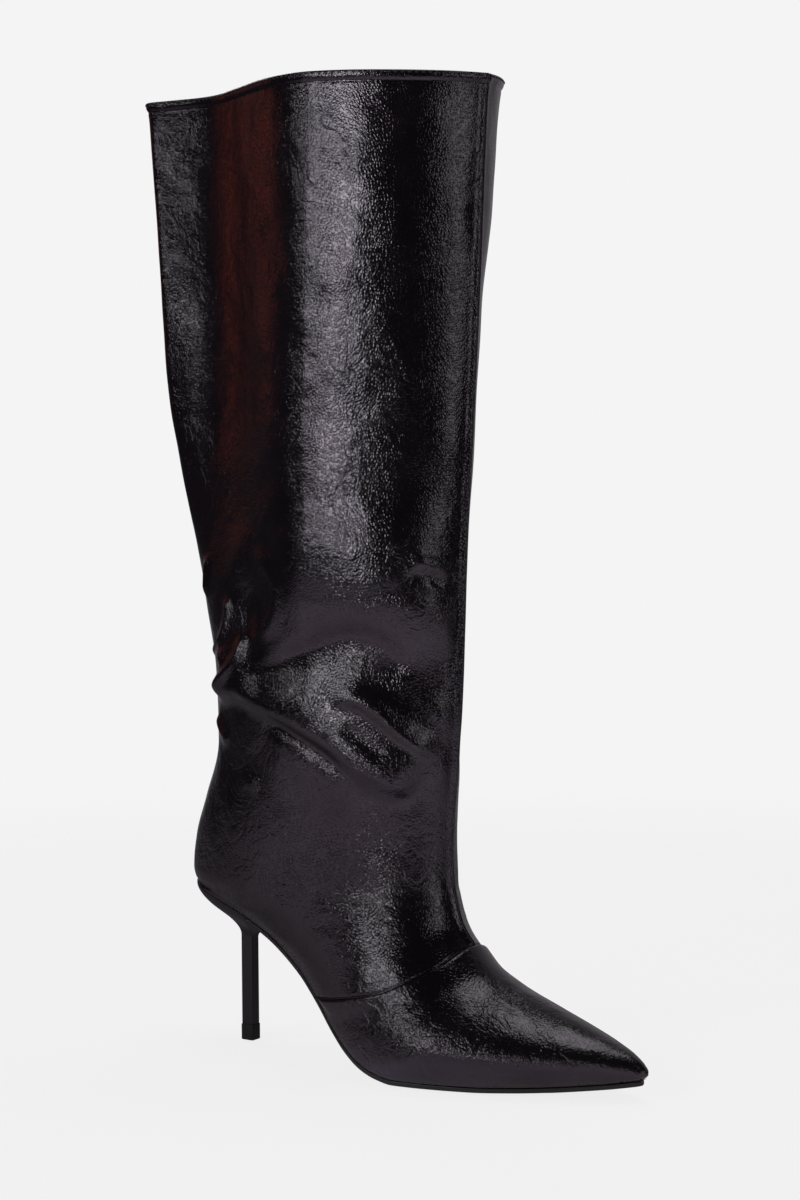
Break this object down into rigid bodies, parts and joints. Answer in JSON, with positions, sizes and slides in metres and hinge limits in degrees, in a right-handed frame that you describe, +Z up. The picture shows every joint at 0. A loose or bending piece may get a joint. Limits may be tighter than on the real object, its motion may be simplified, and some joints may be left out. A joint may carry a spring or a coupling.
{
  "type": "boot",
  "caption": "Knee-high pointed-toe stiletto boot for the right foot, with a wide, slack pull-on shaft, a curved vamp seam and a slim covered heel.",
  "frame": {"origin": "on the floor, under the middle of the boot's outline", "axes": "+X from heel to toe, +Y towards the inner (medial) side, +Z up the shaft"},
  "size_m": [0.2832, 0.1055, 0.4656],
  "materials": {
    "upper_leather": "glossy, fine grain",
    "heel_cover": "glossy",
    "outsole": "satin",
    "top_piece": "matt",
    "lining": "matt"
  },
  "bodies": {
    "root": {"outsole": "outsole", "insole": "lining", "heel_tip": "top_piece", "heel": "heel_cover", "vamp": "upper_leather", "shaft": "upper_leather"}
  },
  "joints": []
}
